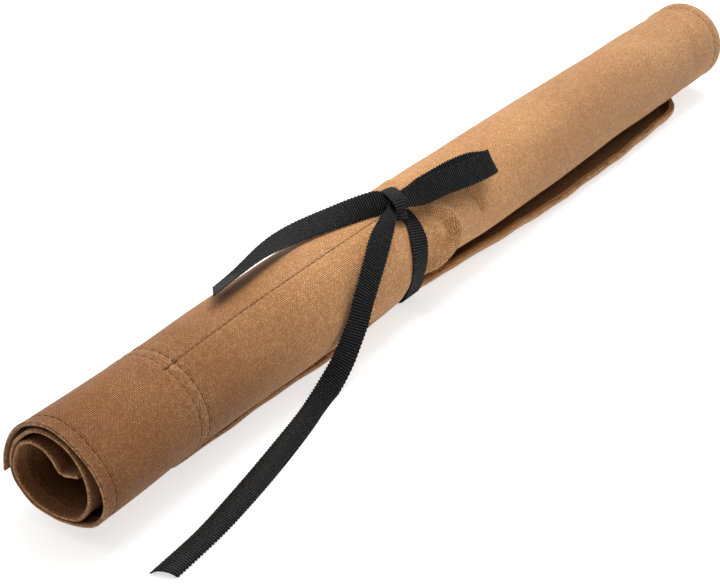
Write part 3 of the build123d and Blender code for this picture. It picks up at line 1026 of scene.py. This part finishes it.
def scaled(tree, coordinates, scale):
    node = tree.nodes.new("ShaderNodeMapping")
    node.inputs["Scale"].default_value = scale
    tree.links.new(coordinates, node.inputs["Vector"])
    return node.outputs["Vector"]


def cloth_places(tree):
    """The place on the cloth, whole and split into its two directions."""
    place = tree.nodes.new("ShaderNodeUVMap")
    place.uv_map = "cloth"
    split = tree.nodes.new("ShaderNodeSeparateXYZ")
    tree.links.new(place.outputs["UV"], split.inputs[0])
    return place.outputs["UV"], split.outputs


def raise_surface(tree, shader, height, strength, distance):
    """Shades the surface as if it had this height."""
    node = tree.nodes.new("ShaderNodeBump")
    set_inputs(node, {"Strength": strength, "Distance": distance})
    tree.links.new(height, node.inputs["Height"])
    tree.links.new(node.outputs["Normal"], shader.inputs["Normal"])


def canvas_material():
    """Plain weave canvas, waxed: mottled tan, uneven yarns with painted highlights and glints, pale
    rubbing, and painted shade towards the near end, on the inner turns and in shaded creases.
    """
    material, shader = new_material("waxed_canvas")
    tree = material.node_tree
    uv, split = cloth_places(tree)
    wander = multiply(tree, stretched_noise(tree, uv, (75, 75), 2.0), 0.0011)
    waves = []
    for axis in (0, 1):
        phase = multiply(tree, add(tree, split[axis], wander), math.pi / YARN)
        waves.append(math_node(tree, "SINE", phase))
    # Warp and weft take turns on top: 0.5 |a| + 0.5 ab, and 0.5 |b| - 0.5 ab.
    cross = multiply(tree, multiply(tree, *waves), 0.5)
    half = [multiply(tree, math_node(tree, "ABSOLUTE", wave), 0.5) for wave in waves]
    warp = add(tree, half[0], cross)
    weft = math_node(tree, "SUBTRACT", half[1], cross)
    weave = math_node(tree, "MAXIMUM", warp, weft)
    slub_s = stretched_noise(tree, uv, (120, 1300), 1.0)
    slub_x = stretched_noise(tree, uv, (1300, 120), 1.0)
    slubs = multiply(tree, add(tree, slub_s, slub_x), 0.5)
    mottle = stretched_noise(tree, uv, (22, 13), 1.5)
    wax = stretched_noise(tree, uv, (70, 50), 3.0, 0.55)
    # Each crossing of two yarns is lighter or darker than the next.
    crossing = tree.nodes.new("ShaderNodeVectorMath")
    crossing.operation = "FLOOR"
    tree.links.new(scaled(tree, uv, (1 / YARN, 1 / YARN, 1)), crossing.inputs[0])
    chance = tree.nodes.new("ShaderNodeTexWhiteNoise")
    chance.noise_dimensions = "2D"
    tree.links.new(crossing.outputs[0], chance.inputs["Vector"])
    chance = chance.outputs["Value"]
    # Rubbing and painted highlight above zero, painted shade below zero, from the mesh attribute.
    wear_light_shade_mask = tree.nodes.new("ShaderNodeAttribute")
    wear_light_shade_mask.attribute_name = "wear_and_painted_light"
    wear_light_shade_mask = wear_light_shade_mask.outputs["Fac"]

    colour = ramp(tree, mottle, (
        (0.30, (0.405, 0.196, 0.078)), (0.52, (0.462, 0.232, 0.093)), (0.75, (0.520, 0.270, 0.112)),
    ))
    # Painted shade along the roll: darker and redder towards the near end, a little lighter in the
    # middle, slightly darker towards the far end.
    painted_shade_along_roll = ramp(tree, add(tree, split[1], 0.5), (
        (0.268, (0.455, 0.355, 0.27)), (0.335, (0.57, 0.47, 0.38)), (0.385, (0.94, 0.89, 0.84)),
        (0.43, (1.06, 1.03, 1.0)), (0.52, (1.10, 1.08, 1.06)), (0.60, (0.96, 0.96, 0.97)),
        (0.72, (0.92, 0.92, 0.94)),
    ))
    # Painted light on the weave: crests lighter and whiter, hollows darker.
    painted_weave_light = ramp(tree, weave, (
        (0.12, (0.30, 0.25, 0.21)), (0.45, (0.84, 0.81, 0.78)), (0.82, (1.58, 1.66, 1.72)),
    ))
    yarns = ramp(tree, slubs, ((0.40, (0.93, 0.92, 0.92)), (0.62, (1.06, 1.06, 1.06))))
    # Painted glints: some crossings brighter and whiter, others a little darker.
    painted_glints = ramp(tree, chance, (
        (0.0, (0.84, 0.82, 0.80)), (0.6, (0.98, 0.98, 0.97)), (1.0, (1.28, 1.33, 1.38)),
    ))
    # The warp's floats are paler than the weft's.
    floats = ramp(tree, add(tree, cross, 0.5), ((0.3, (0.88, 0.86, 0.85)), (0.7, (1.13, 1.15, 1.16))))
    for tint in (painted_shade_along_roll, painted_weave_light, yarns, painted_glints, floats):
        colour = mix_colour(tree, "MULTIPLY", 1.0, colour, tint)
    # Pale rubbing and painted highlight, from the attribute above zero.
    pale = multiply(tree, math_node(tree, "MAXIMUM", wear_light_shade_mask, 0.0), multiply(tree, chance, 0.8))
    pale = multiply(tree, pale, weave)
    colour = mix_colour(tree, "MIX", pale, colour, (0.66, 0.42, 0.22))
    # Painted shade, from the attribute below zero.
    painted_shade = math_node(tree, "MAXIMUM", multiply(tree, wear_light_shade_mask, -0.7), 0.0)
    colour = mix_colour(tree, "MIX", painted_shade, colour, (0.020, 0.010, 0.005))
    tree.links.new(colour, shader.inputs["Base Color"])
    rough = ramp(tree, wax, ((0.35, (0.58, 0.58, 0.58)), (0.65, (0.78, 0.78, 0.78))))
    tree.links.new(rough, shader.inputs["Roughness"])
    set_inputs(shader, {
        "Sheen Weight": 0.13, "Sheen Roughness": 0.38, "Sheen Tint": (1.0, 0.94, 0.86, 1),
        "Specular IOR Level": 0.20,
    })
    height = add(tree, add(tree, weave, multiply(tree, slubs, 0.9)), multiply(tree, chance, 0.35))
    raise_surface(tree, shader, height, 0.9, 0.00022)
    return material


def thread_material():
    """Twisted brown thread."""
    material, shader = new_material("thread")
    tree = material.node_tree
    place = tree.nodes.new("ShaderNodeTexCoord")
    fuzz = noise(tree, place.outputs["Object"], 1500.0)
    colour = ramp(tree, fuzz, ((0.3, (0.042, 0.017, 0.007)), (0.7, (0.115, 0.046, 0.018))))
    tree.links.new(colour, shader.inputs["Base Color"])
    set_inputs(shader, {"Roughness": 0.7, "Specular IOR Level": 0.25})
    raise_surface(tree, shader, fuzz, 0.5, 0.0001)
    return material


def ribbon_material():
    """Black grosgrain: fine threads run along the ribbon over its cross ribs."""
    material, shader = new_material("ribbon")
    tree = material.node_tree
    uv, split = cloth_places(tree)
    rib = math_node(tree, "COSINE", multiply(tree, split[0], 2 * math.pi / (RIB * MM)))
    rib = add(tree, multiply(tree, rib, 0.5), 0.5)
    warp = stretched_noise(tree, uv, (500, 5200), 2.0)
    crest = multiply(tree, rib, multiply(tree, warp, 1.4))
    # Painted light on the ribs: crests lit grey, the rest near black.
    colour = ramp(tree, crest, (
        (0.20, (0.0006, 0.0006, 0.0007)), (0.50, (0.0030, 0.0030, 0.0032)), (0.85, (0.072, 0.072, 0.072)),
    ))
    tree.links.new(colour, shader.inputs["Base Color"])
    set_inputs(shader, {"Roughness": 0.6, "Specular IOR Level": 0.09})
    raise_surface(tree, shader, add(tree, rib, multiply(tree, warp, 0.6)), 0.6, 0.0001)
    return material


def floor_material():
    material, shader = new_material("pale_floor")
    set_inputs(shader, {
        "Base Color": (0.46, 0.46, 0.46, 1), "Roughness": 0.9, "Specular IOR Level": 0.1,
        "Emission Color": (1, 1, 1, 1), "Emission Strength": 0.68,
    })
    return material


def dress(pieces):
    """Gives each piece the material of its slot."""
    materials = {
        "waxed_canvas": canvas_material(), "thread": thread_material(), "ribbon": ribbon_material(),
    }
    for piece in pieces:
        piece.data.materials.append(materials[piece["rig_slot"]])


# ------------------------------------------------------------------ camera, light and floor
def aim(thing, target):
    direction = Vector(target) - thing.location
    thing.rotation_euler = direction.to_track_quat("-Z", "Y").to_euler()


def set_camera():
    target = Vector((-0.0371, 0.0139, -0.0039))
    azimuth = math.radians(-55.07)
    elevation = math.radians(29.64)
    distance = 0.745
    data = bpy.data.cameras.new("camera")
    data.sensor_width = 36.0
    data.lens = 90.0
    data.clip_start = 0.01
    camera = bpy.data.objects.new("camera", data)
    camera.location = target + distance * Vector((
        math.sin(azimuth) * math.cos(elevation), -math.cos(azimuth) * math.cos(elevation),
        math.sin(elevation),
    ))
    aim(camera, target)
    bpy.context.scene.collection.objects.link(camera)
    bpy.context.scene.camera = camera


def area_light(name, place, target, size, power):
    data = bpy.data.lights.new(name, "AREA")
    data.shape = "RECTANGLE"
    data.size, data.size_y = size
    data.energy = power
    light = bpy.data.objects.new(name, data)
    light.location = place
    aim(light, target)
    bpy.context.scene.collection.objects.link(light)


def set_stage():
    mesh = bpy.data.meshes.new("floor")
    reach = 6.0
    corners = [(-reach, -reach, 0), (reach, -reach, 0), (reach, reach, 0), (-reach, reach, 0)]
    mesh.from_pydata(corners, [], [(0, 1, 2, 3)])
    floor = bpy.data.objects.new("floor", mesh)
    floor.data.materials.append(floor_material())
    floor.location.z = -0.0003
    bpy.context.scene.collection.objects.link(floor)
    bpy.context.scene.world = studio_world()
    area_light("key", (0.50, 0.10, 1.05), (0.03, 0, 0), (0.5, 0.5), 9)


def studio_world():
    """Soft light all round, most of it from overhead and from the far end."""
    world = bpy.data.worlds.new("studio")
    world.use_nodes = True
    tree = world.node_tree
    direction = tree.nodes.new("ShaderNodeTexCoord")
    toward = tree.nodes.new("ShaderNodeVectorMath")
    toward.operation = "DOT_PRODUCT"
    toward.inputs[1].default_value = Vector((0.34, 0.28, 0.90)).normalized()
    tree.links.new(direction.outputs["Generated"], toward.inputs[0])
    level = math_node(tree, "MAXIMUM", toward.outputs["Value"], 0.0)
    level = multiply(tree, math_node(tree, "POWER", level, 2.0), 2.02)
    background = tree.nodes["Background"]
    tree.links.new(add(tree, level, 0.11), background.inputs["Strength"])
    background.inputs["Color"].default_value = (1, 1, 1, 1)
    return world


set_camera()
set_stage()
flap_piece = build_flap()
canvas_pieces = build_canvas()
free_ends = build_free_ends()
others = [*build_stitching(), build_wrap(), *build_knot(), build_loop(), build_anchor()]
dress([flap_piece, *canvas_pieces, *free_ends, *others])

bpy.context.scene.view_settings.view_transform = "Standard"
